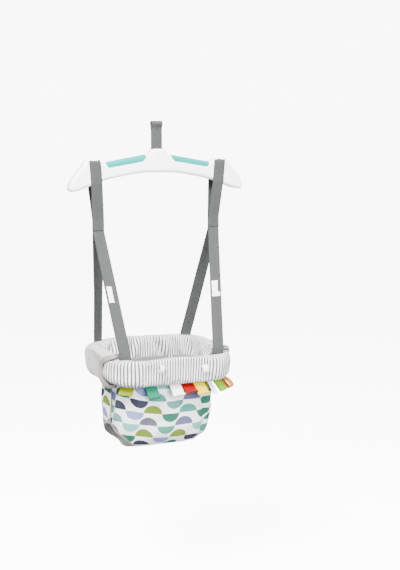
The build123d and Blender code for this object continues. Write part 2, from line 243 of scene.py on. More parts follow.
def grid(rows, columns, place, spread, wrap=False, keep=None):
    """Points, faces and UV corners of a sheet of rows x columns faces; wrap closes its columns."""
    width = columns if wrap else columns + 1
    points = [place(i, j) for i in range(rows + 1) for j in range(width)]
    faces = []
    corners = []
    for i in range(rows):
        for j in range(columns):
            after = (j + 1) % width
            if keep and not keep(i, j):
                continue
            faces.append((i * width + j, i * width + after, (i + 1) * width + after, (i + 1) * width + j))
            corners += [spread(i, j), spread(i, j + 1), spread(i + 1, j + 1), spread(i + 1, j)]
    return points, faces, corners


def rounded_path(points, radius, step=3.0):
    """A path through straight runs with rounded corners, sampled about every step."""
    points = [Vector(point) for point in points]
    path = [points[0]]
    for before, here, after in zip(points, points[1:], points[2:]):
        inward = (before - here).normalized()
        outward = (after - here).normalized()
        reach = min(radius, 0.45 * (before - here).length, 0.45 * (after - here).length)
        start, end = here + inward * reach, here + outward * reach
        for k in range(5):
            t = k / 4
            path.append(start * (1 - t) ** 2 + here * (2 * t * (1 - t)) + end * t * t)
    path.append(points[-1])
    fine = [path[0]]
    for a, b in zip(path, path[1:]):
        count = max(1, round((b - a).length / step))
        fine += [a.lerp(b, k / count) for k in range(1, count + 1)]
    return fine


def headings(path, closed=False):
    """The direction of a path at each of its points."""
    last = len(path) - 1
    if closed:
        return [path[(i + 1) % last] - path[(i - 1) % last] for i in range(last + 1)]
    return [path[min(i + 1, last)] - path[max(i - 1, 0)] for i in range(last + 1)]


def skin(rings, count, place, spread, closed=False):
    """Points, faces and UV corners of rings along a path, with flat ends unless it closes on itself."""
    points, faces, corners = grid(rings, count, place, spread, wrap=True)
    if not closed:
        for ring, order in ((0, range(count - 1, -1, -1)), (rings, range(count))):
            faces.append(tuple(ring * count + j for j in order))
            corners += [spread(ring, j) for j in order]
    return points, faces, corners


def strip(name, path, side_at, width, thick, material, body=None, bead=0.12, closed=False):
    """Flat webbing or tape along a path. side_at(share) is its width direction there."""
    half, lift = width / 2, thick / 2
    edge = min(half * 0.3, thick)
    upper = [(-half, 0), (-half + edge * 0.35, lift * 0.85), (-half + edge, lift), (0, lift * (1 - bead)),
             (half - edge, lift), (half - edge * 0.35, lift * 0.85)]
    profile = upper + [(-across, -up) for across, up in upper]
    along = [0.0]
    for a, b in zip(path, path[1:]):
        along.append(along[-1] + (b - a).length)
    frames = []
    for centre, ahead, run in zip(path, headings(path, closed), along):
        normal = ahead.cross(Vector(side_at(run / along[-1]))).normalized()
        frames.append((centre, normal.cross(ahead).normalized(), normal))

    def place(i, j):
        centre, side, normal = frames[i]
        across, up = profile[j]
        return centre + side * across + normal * up

    def spread(i, j):
        return profile[j % len(profile)][0], along[i]

    return put_mesh(name, *skin(len(path) - 1, len(profile), place, spread, closed), material, body)


def tube(name, path, radius, material, body, count=8, step=3.0):
    """A round cord along a path."""
    frames = []
    normal = None
    for centre, ahead in zip(path, headings(path)):
        ahead = ahead.normalized()
        if normal is None:
            normal = ahead.orthogonal().normalized()
        normal = (normal - ahead * normal.dot(ahead)).normalized()
        frames.append((centre, normal, ahead.cross(normal)))

    def place(i, j):
        centre, across, up = frames[i]
        turn = 2 * pi * j / count
        return centre + (across * cos(turn) + up * sin(turn)) * radius

    shape = skin(len(path) - 1, count, place, lambda i, j: (j * radius, i * step))
    return put_mesh(name, *shape, material, body)


def stitches(name, lines, material, body, pitch=3.0, length=2.0, radius=0.32, lift=0.15):
    """Sewing thread along lines of (start, end, normal): one small rounded stitch after another."""
    points = []
    faces = []
    around, rings = 6, (0.0, 0.25, 0.75, 1.0)
    for start, end, normal in lines:
        start, end, normal = Vector(start), Vector(end), Vector(normal).normalized()
        run = (end - start).length
        count = max(1, round(run / pitch))
        ahead = (end - start).normalized()
        side = ahead.cross(normal)
        for k in range(count):
            middle = start + ahead * ((k + 0.5) * run / count)

            def place(i, j):
                t, turn = rings[i], 2 * pi * j / around
                swell = sin(pi * (0.08 + 0.84 * t)) * radius
                centre = middle + ahead * ((t - 0.5) * length) + normal * (lift * sin(pi * t))
                return centre + side * (cos(turn) * swell) + normal * (sin(turn) * swell)

            stitch, skins, _ = skin(len(rings) - 1, around, place, lambda i, j: (i, j))
            faces += [tuple(len(points) + corner for corner in face) for face in skins]
            points += stitch
    return put_mesh(name, points, faces, None, material, body)


def inflate(piece, pressure, slack, cap, pinned, steps=18):
    """Fills a closed fabric form with air by cloth simulation, and applies the result to its mesh."""
    rest = [vertex.co.copy() for vertex in piece.data.vertices]
    pins = piece.vertex_groups.new(name="pins")
    pins.add([i for i in range(len(rest)) if pinned(i)], 1.0, "ADD")
    cloth = piece.modifiers.new("cloth", "CLOTH")
    settings = cloth.settings
    settings.quality = 6
    settings.mass = 0.25
    settings.tension_stiffness = 12
    settings.compression_stiffness = 12
    settings.bending_stiffness = 0.4
    settings.vertex_group_mass = "pins"
    settings.shrink_min = -slack
    settings.use_pressure = True
    settings.uniform_pressure_force = pressure
    settings.effector_weights.gravity = 0
    cloth.point_cache.frame_start = 1
    cloth.point_cache.frame_end = steps
    for step in range(1, steps + 1):
        bpy.context.scene.frame_set(step)
    graph = bpy.context.evaluated_depsgraph_get()
    shape = piece.evaluated_get(graph).to_mesh()
    moved = [vertex.co.copy() for vertex in shape.vertices]
    piece.evaluated_get(graph).to_mesh_clear()
    piece.modifiers.remove(cloth)
    piece.vertex_groups.remove(pins)
    limit = cap * MM
    for vertex, start, end in zip(piece.data.vertices, rest, moved):
        shift = end - start
        if shift.length > limit:
            shift *= limit / shift.length
        vertex.co = start + shift
    bpy.context.scene.frame_set(1)


# ---- materials

class Shader:
    """A small builder for node materials with one Principled look."""

    def __init__(self, name, color, roughness, **uniform):
        self.material = bpy.data.materials.new(name)
        self.material.use_nodes = True
        self.tree = self.material.node_tree
        self.shader = self.tree.nodes["Principled BSDF"]
        self.shader.inputs["Base Color"].default_value = (*color, 1)
        self.shader.inputs["Roughness"].default_value = roughness
        for socket, value in uniform.items():
            self.shader.inputs[socket.replace("_", " ")].default_value = value

    def node(self, kind, inputs=(), **settings):
        """A node with its settings and its inputs, each a socket to link or a value."""
        made = self.tree.nodes.new(kind)
        for setting, value in settings.items():
            setattr(made, setting, value)
        for key, value in dict(inputs).items():
            if isinstance(value, bpy.types.NodeSocket):
                self.tree.links.new(value, made.inputs[key])
            else:
                made.inputs[key].default_value = value
        return made

    def math(self, operation, a, b=0.0, c=0.0):
        """The result of a Math node."""
        return self.node("ShaderNodeMath", {0: a, 1: b, 2: c}, operation=operation).outputs[0]

    def times(self, a, b, c=0.0):
        """a times b, plus c."""
        return self.math("MULTIPLY_ADD", a, b, c)

    def plus(self, a, b):
        return self.math("ADD", a, b)

    def minus(self, a, b):
        return self.math("SUBTRACT", a, b)

    def uv(self):
        """The two UV coordinates in millimetres."""
        split = self.node("ShaderNodeSeparateXYZ", {0: self.node("ShaderNodeTexCoord").outputs["UV"]})
        return self.math("DIVIDE", split.outputs[0], MM), self.math("DIVIDE", split.outputs[1], MM)

    def noise(self, scale, detail=3.0, roughness=0.5):
        """Noise over the piece, in cycles per metre."""
        place = self.node("ShaderNodeTexCoord").outputs["Object"]
        return self.node("ShaderNodeTexNoise", {
            "Vector": place, "Scale": scale, "Detail": detail, "Roughness": roughness}).outputs["Fac"]

    def wave(self, coordinate, pitch):
        """A smooth wave from 0 to 1 along a coordinate in millimetres."""
        turn = self.math("SINE", self.times(coordinate, 2 * pi / pitch))
        return self.times(turn, 0.5, 0.5)

    def mix(self, share, a, b):
        """A blend of two colours."""
        a, b = ((*color, 1) if isinstance(color, tuple) else color for color in (a, b))
        return self.node("ShaderNodeMix", {0: share, 6: a, 7: b}, data_type="RGBA").outputs[2]

    def color(self, socket):
        self.tree.links.new(socket, self.shader.inputs["Base Color"])

    def rough(self, share, low, high):
        """Roughness that varies between two values."""
        socket = self.times(share, high - low, low)
        self.tree.links.new(socket, self.shader.inputs["Roughness"])

    def bump(self, height, distance, strength=1.0):
        """Surface relief, with its depth in millimetres."""
        made = self.node("ShaderNodeBump", {
            "Height": height, "Distance": distance * MM, "Strength": strength})
        self.tree.links.new(made.outputs["Normal"], self.shader.inputs["Normal"])


def weave(look, u, v, pitch_u, pitch_v):
    """Height of a plain weave, from two coordinates in millimetres."""
    warp, weft = look.wave(u, pitch_u), look.wave(v, pitch_v)
    crossing = look.times(look.wave(u, 2 * pitch_u), look.wave(v, 2 * pitch_v))
    return look.times(warp, 0.5, look.times(weft, 0.4, crossing))


def tones(tone, darker, lighter):
    """A darker and a lighter version of a colour."""
    return tuple(c * (1 - darker) for c in tone), tuple(min(1, c * (1 + lighter)) for c in tone)


def webbing_material():
    """Grey polyester webbing: a fine twill with darker selvedges."""
    tone = (0.038, 0.0395, 0.0395)
    look = Shader("grey_webbing", tone, 0.78, Sheen_Weight=0.08, Sheen_Roughness=0.45, Specular_IOR_Level=0.3)
    u, v = look.uv()
    slant = look.plus(v, look.math("PINGPONG", u, 3.2))
    ribs = look.times(look.wave(u, 1.6), 0.5)
    twill = look.times(look.wave(slant, 1.9), 0.7, ribs)
    fleck = look.noise(900, 2)
    share = look.times(twill, 0.5, look.times(fleck, 0.5))
    low, high = tones(tone, 0.28, 0.22)
    edge = look.math("GREATER_THAN", look.math("ABSOLUTE", u), WEB_WIDTH / 2 - SELVEDGE)
    look.color(look.mix(look.times(edge, 0.35), look.mix(share, low, high), low))
    look.rough(fleck, 0.68, 0.86)
    look.bump(twill, 0.35)
    return look.material


def stripe_material():
    """White cotton with grey stripes across the rim."""
    white, grey = (0.87, 0.87, 0.895), (0.022, 0.022, 0.026)
    look = Shader("striped_cotton", white, 0.88, Sheen_Weight=0.05, Sheen_Roughness=0.5)
    u, v = look.uv()
    drift = look.times(look.minus(look.noise(14, 2), 0.5), STRIPE_DRIFT)
    across = look.math("PINGPONG", look.plus(u, drift), STRIPE_PITCH / 2)
    inside = look.minus(STRIPE_PITCH * STRIPE_SHARE / 2, across)
    line = look.math("MAXIMUM", look.math("MINIMUM", look.times(inside, 4.0), 1.0), 0.0)
    ink = look.times(line, look.times(look.noise(700, 2), 0.25, 0.78))
    look.color(look.mix(ink, white, grey))
    crumple = look.times(look.noise(42, 4, 0.55), 4.0)
    look.bump(look.plus(weave(look, u, v, 0.62, 0.62), crumple), 0.42)
    look.rough(look.noise(300, 2), 0.82, 0.95)
    return look.material


def letter_ramp(look, index, letters):
    """Colour and alpha over a row of letters: alpha is 1 for a plain half-moon, 0 for a dotted one."""
    ramp = look.node("ShaderNodeValToRGB", {0: index})
    ramp.color_ramp.interpolation = "CONSTANT"
    stops = ramp.color_ramp.elements
    for number, letter in enumerate(letters):
        place = number / PRINT_REPEAT
        stop = stops[number] if number < 2 else stops.new(place)
        stop.position = place
        stop.color = (*PRINT_COLORS[letter], 1.0 if letter.isupper() else 0.0)
    return ramp.outputs[0], ramp.outputs[1]


def moon_row(look, u, level, way):
    """Mask, colour and plainness of the half-moons above (-1) or below (1) their rows."""
    place = look.math("DIVIDE", look.minus(level, PRINT_FIRST_ROW), PRINT_ROW_PITCH)
    share = look.math("FRACT", look.times(place, way))
    row = look.math("ROUND", look.minus(place, look.times(share, way)))
    slide = look.times(row, PRINT_SHIFT, PRINT_START)
    cell_place = look.math("DIVIDE", look.plus(u, slide), PRINT_PITCH)
    cell = look.math("FLOOR", cell_place)
    across = look.times(look.math("FRACT", cell_place), 2.0, -1.0)
    tall = look.times(share, PRINT_ROW_PITCH / MOON_HEIGHT)
    radius = look.plus(look.times(across, across), look.times(tall, tall))
    wanted = 1.0 if way > 0 else 0.0
    turned = look.math("COMPARE", look.math("FLOORED_MODULO", cell, 2.0), wanted, 0.3)
    moon = look.times(look.math("LESS_THAN", radius, 1.0), turned)
    number = look.math("FLOORED_MODULO", cell, float(PRINT_REPEAT))
    index = look.math("DIVIDE", look.plus(number, 0.5), float(PRINT_REPEAT))
    ink, plain = letter_ramp(look, index, PRINT_ROWS[0])
    for row_number, letters in enumerate(PRINT_ROWS[1:], 1):
        row_ink, row_plain = letter_ramp(look, index, letters)
        here = look.math("COMPARE", row, float(row_number), 0.4)
        ink = look.mix(here, ink, row_ink)
        kept = look.times(plain, look.minus(1.0, here))
        plain = look.times(row_plain, here, kept)
    return moon, ink, plain


def dot_share(look, u, v):
    """1 on the dots of a staggered dot pattern, 0 between them."""
    dots = []
    for offset in (0.0, 0.5):
        away = []
        for coordinate in (u, v):
            place = look.plus(look.math("DIVIDE", coordinate, DOT_PITCH), offset)
            off = look.minus(look.math("FRACT", place), 0.5)
            away.append(look.times(off, off))
        dots.append(look.math("LESS_THAN", look.plus(*away), DOT_SIZE))
    return look.math("MAXIMUM", *dots)


def print_material():
    """White cotton printed with rows of half-moons that touch at their tips."""
    white = (0.885, 0.895, 0.94)
    look = Shader("printed_cotton", white, 0.86, Sheen_Weight=0.02, Sheen_Roughness=0.5,
                    Specular_IOR_Level=0.06)
    u, v = look.uv()
    wobble = look.times(look.minus(look.noise(9, 1), 0.5), 9.0)
    squared = look.math("MINIMUM", look.times(u, u), PRINT_BOW_REACH ** 2)
    bowed = look.times(squared, PRINT_BOW, wobble)
    level = look.plus(look.times(u, -PRINT_TILT, v), bowed)
    dots = dot_share(look, u, v)
    worn = look.times(look.noise(800, 2), 0.05, 0.95)
    tone = white
    for way in (-1, 1):
        moon, ink, plain = moon_row(look, u, level, way)
        bare = look.times(dots, look.minus(1.0, plain))
        tone = look.mix(look.times(look.times(moon, look.minus(1.0, bare)), worn), tone, ink)
    look.color(tone)
    crumple = look.times(look.noise(30, 4, 0.5), 5.0)
    look.bump(look.plus(weave(look, u, v, 0.6, 0.6), crumple), 0.45)
    look.rough(look.noise(300, 2), 0.8, 0.93)
    return look.material


def cloth_material(name, tone, pitch=0.8, depth=0.3, spread=0.2, roughness=0.85):
    """Plain woven cloth."""
    look = Shader(name, tone, roughness, Sheen_Weight=0.2, Sheen_Roughness=0.5)
    u, v = look.uv()
    fleck = look.noise(600, 3)
    look.color(look.mix(fleck, *tones(tone, spread, spread)))
    look.bump(look.plus(weave(look, u, v, pitch, pitch), look.noise(60, 3)), depth)
    look.rough(fleck, roughness - 0.06, roughness + 0.06)
    return look.material


def satin_material(name, tone):
    """Satin ribbon with a fine gloss and faint ribs both ways."""
    look = Shader(name, tone, 0.3, Sheen_Roughness=0.3, Anisotropic=0.5, Specular_IOR_Level=0.12)
    u, v = look.uv()
    ribs = look.wave(v, 0.7)
    share = look.times(look.noise(260, 3), 0.6, look.times(ribs, 0.4))
    look.color(look.mix(share, *tones(tone, 0.18, 0.15)))
    look.rough(share, 0.26, 0.44)
    look.bump(look.times(ribs, 0.4, look.wave(u, 0.9)), 0.08)
    return look.material


def plastic_material(name, tone, roughness, bump, scale, coat=0.0, gloss=0.5):
    """Moulded plastic or rubber with a fine surface grain."""
    look = Shader(name, tone, roughness, Coat_Weight=coat, Coat_Roughness=0.18, Specular_IOR_Level=gloss)
    fine, broad = look.noise(scale, 4, 0.6), look.noise(18, 2)
    look.color(look.mix(broad, *tones(tone, 0.035, 0.0)))
    grain = look.times(broad, 0.5, look.times(fine, 0.5))
    look.rough(grain, roughness - 0.05, roughness + 0.08)
    look.bump(fine, bump)
    return look.material


def metal_material():
    """Zinc-plated steel with fine drawn marks."""
    look = Shader("zinc_steel", (0.56, 0.56, 0.58), 0.32, Metallic=1.0)
    grain = look.noise(1500, 3)
    look.color(look.mix(grain, (0.48, 0.48, 0.50), (0.62, 0.62, 0.64)))
    look.rough(grain, 0.24, 0.42)
    look.bump(grain, 0.02)
    return look.material


WEBBING = webbing_material()
STRIPES = stripe_material()
PRINT = print_material()
BINDING = cloth_material("beige_binding", (0.19, 0.167, 0.138), 0.7, 0.25, 0.1)
LINING = cloth_material("grey_lining", (0.19, 0.19, 0.205), 0.7, 0.3, 0.12)
LABEL = cloth_material("white_label", (0.86, 0.86, 0.86), 1.1, 0.12, 0.04, 0.6)
TOY_COTTON = cloth_material("toy_loop_white", (0.82, 0.82, 0.84), 0.7, 0.2, 0.06)
LABEL_RIBS = cloth_material("label_ribs", (0.09, 0.09, 0.1), 0.8, 0.1, 0.1, 0.7)
THREAD = cloth_material("grey_thread", (0.03, 0.031, 0.031), 0.5, 0.1, 0.15, 0.6)
BAR_WHITE = plastic_material("bar_white", (0.90, 0.90, 0.925), 0.36, 0.03, 700, 0.25)
GRIP_TEAL = plastic_material("grip_teal", (0.0, 0.215, 0.19), 0.7, 0.09, 1300, 0.0, 0.05)
STEEL = metal_material()
SATINS = {name: satin_material(f"satin_{name}", color) for name, *_, color in RIBBONS}


# ---- camera, light and floor

def make_camera():
    """The camera at the object's three-quarter front view."""
    data = bpy.data.cameras.new("camera")
    data.lens = CAMERA_LENS
    data.sensor_width = SENSOR
    camera = add_object("camera", data)
    camera.location = CAMERA_PLACE
    camera.rotation_euler = (pi / 2 - CAMERA_PITCH, 0, CAMERA_HEADING)
    bpy.context.scene.camera = camera


def make_area_light(name, place, size, power):
    """A large soft light aimed at the object's middle."""
    data = bpy.data.lights.new(name, "AREA")
    data.shape = "DISK"
    data.size = size
    data.energy = power
    light = add_object(name, data)
    light.location = place
    middle = (Vector(CAD_BOX[0]) + Vector(CAD_BOX[1])) / 2
    light.rotation_euler = (middle - Vector(place)).to_track_quat("-Z", "Y").to_euler()


def make_studio():
    """White surroundings, soft lights, and a pale floor and dome that only the camera sees."""
    world = bpy.data.worlds.new("studio")
    world.use_nodes = True
    background = world.node_tree.nodes["Background"]
    background.inputs[0].default_value = (0.97, 0.98, 1, 1)
    background.inputs[1].default_value = WORLD_STRENGTH
    bpy.context.scene.world = world
    for light in LIGHTS:
        make_area_light(*light)
    look = Shader("studio_white", (0.9, 0.9, 0.9), 0.95)
    look.color(look.mix(look.noise(6, 2), (0.88, 0.88, 0.88), (0.92, 0.92, 0.92)))
    look.shader.inputs["Emission Color"].default_value = (1, 1, 1, 1)
    look.shader.inputs["Emission Strength"].default_value = BACKDROP_GLOW
    rings, around = 12, 32
    low = Vector((0, 0, POUCH_LOW.z - FLOOR_DROP / MM))

    def dome(i, j):
        rise, turn = pi / 2 * i / rings, 2 * pi * j / around
        away = Vector((cos(rise) * cos(turn), cos(rise) * sin(turn), sin(rise)))
        return low + away * DOME_RADIUS

    points, faces, _ = grid(rings, around, dome, lambda i, j: (i, j), wrap=True)
    points.append(low)
    faces += [(len(points) - 1, j, (j + 1) % around) for j in range(around)]
    studio = put_mesh("studio_floor", points, faces, None, look.material)
    for ray in ("visible_diffuse", "visible_glossy", "visible_transmission", "visible_shadow"):
        setattr(studio, ray, False)


# ---- webbing

def make_hanging_webbing():
    """The hanging strap: round the pin, up, round the eye and down again."""
    pin_z = frame["joints"][0]["pos_m"][2] / MM
    pin_reach = pin_z - (STRAP_LOW.z + WEB_PLY / 2)
    eye_reach = STRAP_HIGH.z - WEB_PLY / 2
    ply = WEB_PLY / 2 + 0.08
    step = 3
    outline = []
    for k in range(13):
        turn = pi * k / 12 - pi / 2
        outline.append((pin_reach * sin(turn), pin_z - pin_reach * cos(turn)))
    outline += [(ply, pin_z + 8 + k * step) for k in range(18)]
    for k in range(17):
        turn = pi * 1.5 * k / 16 - pi / 4
        outline.append((eye_reach * cos(turn), eye_reach * sin(turn)))
    outline += [(-ply, -11 - k * step) for k in range(19)]
    path = [Vector((0, y, z)) for y, z in outline]
    piece = strip("hanging_webbing", path, lambda share: (1, 0, 0), WEB_WIDTH + 1.2, WEB_PLY, WEBBING,
                  "strap")
    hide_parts("hanging_strap")
    half = WEB_WIDTH / 2 - 3
    lines = []
    for z in (-13, -19, -38):
        for face in (-1, 1):
            y = face * (WEB_PLY + 0.1)
            lines.append(((-half, y, z), (half, y, z), (0, face, 0)))
    stitches("hanging_stitching", lines, THREAD, "strap")


def lean(depth, side):
    """X of a bar loop's middle at a depth below its slot."""
    share = min(1.0, max(0.0, depth / (SLOT_Z - SWING_Z)))
    return side * (SLOT_X + share * (JUNCTION_X - SLOT_X))


def make_bar_webbing(name, side):
    """Webbing through the bar's slot and round its arm, with both plies sewn at the junction."""
    face, stack = LOOP_HALF_DEPTH, LOOP_HALF_STACK
    bottom = JUNCTION_LOW.z - SLOT_Z
    join = JUNCTION_HIGH.z - SLOT_Z + 2
    outline = [(-stack, bottom), (-stack, join), (-face, -50), (-face, 0), (face, 0), (face, -50),
               (stack, join), (stack, bottom)]
    flat = rounded_path([(0, y, z) for y, z in outline], 4.5)
    path = [Vector((lean(-point.z, side), point.y, SLOT_Z + point.z)) for point in flat]
    piece = strip(f"{name}_bar_webbing", path, lambda share: (1, 0, side * 0.05), WEB_WIDTH + 1.0, WEB_PLY,
                  WEBBING)
    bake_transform(piece)
    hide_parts(f"{name}_bar_loop", f"{name}_junction_patch")
    low, high = JUNCTION_LOW.z + 2.4, JUNCTION_HIGH.z - 4.2
    left, right = (side * JUNCTION_X + way * (WEB_WIDTH / 2 - 3) for way in (-1, 1))
    lines = []
    for way in (-1, 1):
        y = way * (stack + WEB_PLY / 2)
        box = [(left, y, low), (right, y, low), (right, y, high), (left, y, high)]
        ends = ((0, 1), (1, 2), (2, 3), (3, 0), (0, 2), (1, 3))
        lines += [(box[a], box[b], (0, way, 0)) for a, b in ends]
    stitches(f"{name}_junction_stitching", lines, THREAD, "seat", 2.6, 1.9)


def leg_path(side, end):
    """A seat strap from the junction down to the rim, sinking into the pad."""
    top = (side * JUNCTION_X, end * 0.85, JUNCTION_HIGH.z - 5)
    start = Vector((side * JUNCTION_X, end * 0.9, JUNCTION_LOW.z + 1))
    foot_y = FOOT_Y - (11 if end < 0 else 2)
    foot = Vector((side * FOOT_X, end * foot_y, FOOT_Z))
    sag = Vector((0, end * -1.2, 0))
    middle = [start + (foot - start) * t + sag * sin(pi * t) for t in (0.35, 0.7)]
    tail = foot + Vector((0, -end * 2.0, -14))
    return rounded_path([top, start, *middle, foot, tail], 14, 4.0)


def make_leg_webbing(name, side, end_name, end):
    """One seat strap, turned a little about its own length on its way down."""
    twist = LEG_TWISTS[side, end]

    def side_at(share):
        turn = twist * min(1.0, max(0.0, share - 0.12) * 2.5)
        return cos(turn), sin(turn), 0

    piece = strip(f"{name}_{end_name}_webbing", leg_path(side, end), side_at, WEB_WIDTH + 0.6, WEB_PLY,
                  WEBBING, "seat")
    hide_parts(f"{name}_{end_name}_strap")


def make_label(name, side):
    """A blank woven label on the front strap with faint woven ribs and one lifted corner."""
    low, high = LABEL_LOW.z, LABEL_HIGH.z
    run = [point for point in leg_path(side, -1) if low - 8 < point.z < high + 8]
    top, bottom = run[0], run[-1]
    ahead = (bottom - top).normalized()
    normal = ahead.cross(Vector((1, 0, 0))).normalized()
    normal = normal if normal.y < 0 else -normal
    width, length = LABEL_WIDTH, high - low
    middle = top + ahead * ((top.z - (low + high) / 2) / -ahead.z)
    columns, rows = 10, 18

    def surface(across, along, proud=0.1):
        lifted = max(0.0, across / width + along / length * 0.9 - 0.42) ** 2 * 9
        rise = WEB_PLY / 2 + 0.12 + proud + lifted
        return middle + Vector((across, 0, 0)) + ahead * along + normal * rise

    points, faces, corners = grid(
        rows, columns, lambda i, j: surface((j / columns - 0.5) * width, (i / rows - 0.5) * length, 0.0),
        lambda i, j: (j * width / columns, i * length / rows))
    label = put_mesh(f"{name}_label", points, faces, corners, LABEL, "seat")
    thicken(label, 0.35)
    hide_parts(f"{name}_strap_label")
    ribs = []
    for k in range(5):
        along = -length / 2 + 9 + k * 4.4
        end = width * (0.30 - 0.05 * (k % 2))
        ribs.append((surface(-width * 0.32, along), surface(end, along), normal))
    stitches(f"{name}_label_ribs", ribs, LABEL_RIBS, "seat", 2.4, 2.1, 0.36, 0.05)
    seam = -length / 2 + 1.2
    edge = [(surface(-width / 2 + 1, seam), surface(width / 2 - 1, seam), normal)]
    stitches(f"{name}_label_stitching", edge, THREAD, "seat", 2.4, 1.7, 0.28)


def thicken(piece, thick):
    """Gives a thin sheet its thickness, on its inner side."""
    solid = piece.modifiers.new("thickness", "SOLIDIFY")
    solid.thickness = thick * MM
    solid.offset = -1


# ---- rounded tracks

def track(along, half_x, half_y, radius):
    """Point and outward direction on a rounded rectangle, along from its front middle to +X."""
    way = 1 if along >= 0 else -1
    rest = abs(along)
    front, side = half_x - radius, half_y - radius
    bend = radius * pi / 2
    if rest <= front:
        return way * rest, -half_y, 0.0, -1.0
    rest -= front
    if rest <= bend:
        nx, ny = sin(rest / radius), -cos(rest / radius)
        return way * (front + radius * nx), -side + radius * ny, way * nx, ny
    rest -= bend
    if rest <= 2 * side:
        return way * half_x, rest - side, float(way), 0.0
    rest -= 2 * side
    if rest <= bend:
        nx, ny = cos(rest / radius), sin(rest / radius)
        return way * (front + radius * nx), side + radius * ny, way * nx, ny
    return way * (front - rest + bend), half_y, 0.0, 1.0


def track_length(half_x, half_y, radius):
    """The length of a whole rounded rectangle."""
    return 4 * (half_x - radius) + 4 * (half_y - radius) + 2 * pi * radius


# ---- padded rim

RIM_X = RIM_HIGH.x - RIM_THICK / 2
RIM_Y = RIM_HIGH.y - RIM_THICK / 2
RIM_R = RIM_CORNER - RIM_THICK / 2
RIM_MIDDLE_Z = (RIM_LOW.z + RIM_HIGH.z) / 2
RIM_HALF_HEIGHT = (RIM_HIGH.z - RIM_LOW.z) / 2
RIM_LENGTH = track_length(RIM_X, RIM_Y, RIM_R)


def power(value, exponent):
    """A signed power, for superellipse sections."""
    return copysign(abs(value) ** exponent, value)


def rim_point(along, turn, swell=1.0, loose=1.0):
    """A point of the rim's skin: along its track and turn round its section, from outwards to up.

    loose is how slack the cover is: 1 for the creased, sagging rear pad, less for the front pad.
    """
    along = (along + RIM_LENGTH / 2) % RIM_LENGTH - RIM_LENGTH / 2
    x, y, nx, ny = track(along, RIM_X, RIM_Y, RIM_R)
    outer, upper = cos(turn), sin(turn)
    out = power(outer, 2 / RIM_SQUARENESS) * RIM_THICK / 2 * swell
    up = power(upper, 2 / RIM_SQUARENESS) * RIM_HALF_HEIGHT * swell
    inner, lower, front = max(0.0, -outer), max(0.0, -upper), max(0.0, -ny)
    gather = noise.noise(Vector((along / 14, 4.2 + upper, outer)))
    broad = noise.noise(Vector((along / 46, 9.1 + 1.3 * upper, 1.3 * outer)))
    push = loose * (gather * (0.9 + 4.6 * inner) + broad * 2.4)
    for place, depth, width in RIM_CREASES:
        away = (abs(along) * copysign(1, place * along) - abs(place) - 16 * upper) / width
        push += loose * inner * depth * exp(-away * away)
    sag = 1.2 * noise.noise(Vector((along / 70, 2.7, 0))) - FRONT_PAD_DROP * front
    sag -= SIDE_PAD_SAG * loose ** 2 * lower * (1 - front) * (1 if ny < 0.7 else 0.3)
    reach = out + push * outer
    return Vector((x + nx * reach, y + ny * reach, RIM_MIDDLE_Z + up + push * 0.7 * upper + sag))


def cuff_shift(turn):
    """How far a cuff's edge reaches forward at a turn round its section."""
    return 26 * max(0.0, sin(turn)) ** 1.5 + 10 * max(0.0, -sin(turn)) ** 1.5


def make_pad(name, start, end, swell_at, loose, shift=0.0):
    """A stuffed length of rim with closed ends; shift slants its ends as a cuff's edge."""
    rows = round((end - start) / PAD_STEP)
    columns = PAD_COLUMNS
    section = 2 * (RIM_THICK + 2 * RIM_HALF_HEIGHT) * 0.9

    def place(i, j):
        before, after = i / rows * (end - start), (1 - i / rows) * (end - start)
        turn = 2 * pi * j / columns
        reach = shift * cuff_shift(turn) * (exp(-after / 30) - exp(-before / 30))
        return rim_point(start + before + reach, turn, swell_at(before, after), loose)

    def spread(i, j):
        return start + i / rows * (end - start), section * j / columns

    points, faces, corners = grid(rows, columns, place, spread, wrap=True)
    for ring, flip in ((0, True), (rows, False)):
        middle = len(points)
        points.append(sum((points[ring * columns + j] for j in range(columns)), Vector()) / columns)
        for j in range(columns):
            a, b = ring * columns + j, ring * columns + (j + 1) % columns
            faces.append((b, a, middle) if flip else (a, b, middle))
            corners += [spread(ring, j)] * 3
    piece = put_mesh(name, points, faces, corners, STRIPES)

    def pinned(i):
        row, column = divmod(i, columns)
        seam = abs(2 * pi * column / columns - 1.6 * pi) < 0.3
        return row < rows and (seam or row == 0)

    inflate(piece, 2.5, 0.03, 6.0, pinned)
    smooth = piece.modifiers.new("smooth", "SUBSURF")
    smooth.levels = 1
    smooth.render_levels = 1
    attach(piece, "seat")
    return piece


def make_rim_binding(name, side):
    """The tape round the end of the rear pad, coned so that it shows its face forwards."""
    columns = 48
    ring = []
    for j in range(columns + 1):
        turn = 2 * pi * (j % columns) / columns
        ring.append(rim_point(side * (CUFF - cuff_shift(turn)), turn, CUFF_SWELL + 0.02))

    def side_at(share):
        turn = 2 * pi * share
        return side * CUFF_SLANT * cos(turn), 1.0, CUFF_SLANT * sin(turn)

    binding = strip(f"{name}_rim_binding_tape", ring, side_at, RIM_BINDING_WIDTH, RIM_BINDING_THICK, BINDING,
                    "seat", closed=True)
    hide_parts(f"{name}_rim_binding")


def make_rim():
    """The rear and side pad, the front pad tucked into its ends, and the bindings of those ends."""
    def front_swell(before, after):
        return 0.68 + 0.32 * min(1.0, min(before, after) / 80) ** 0.7

    def rear_swell(before, after):
        return 1.0 + (CUFF_SWELL - 1.0) * exp(-min(before, after) / 16)

    front = make_pad("front_pad", -CUFF - CUFF_OVERLAP, CUFF + CUFF_OVERLAP, front_swell, 0.6)
    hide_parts("rim_cover_front", "rim_foam_front")
    rear = make_pad("rear_pad", CUFF, RIM_LENGTH - CUFF, rear_swell, 1.0, 1.0)
    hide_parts("rim_cover_rear", "rim_foam_rear")
    for name, side in SIDES.items():
        make_rim_binding(name, side)


# ---- pouch

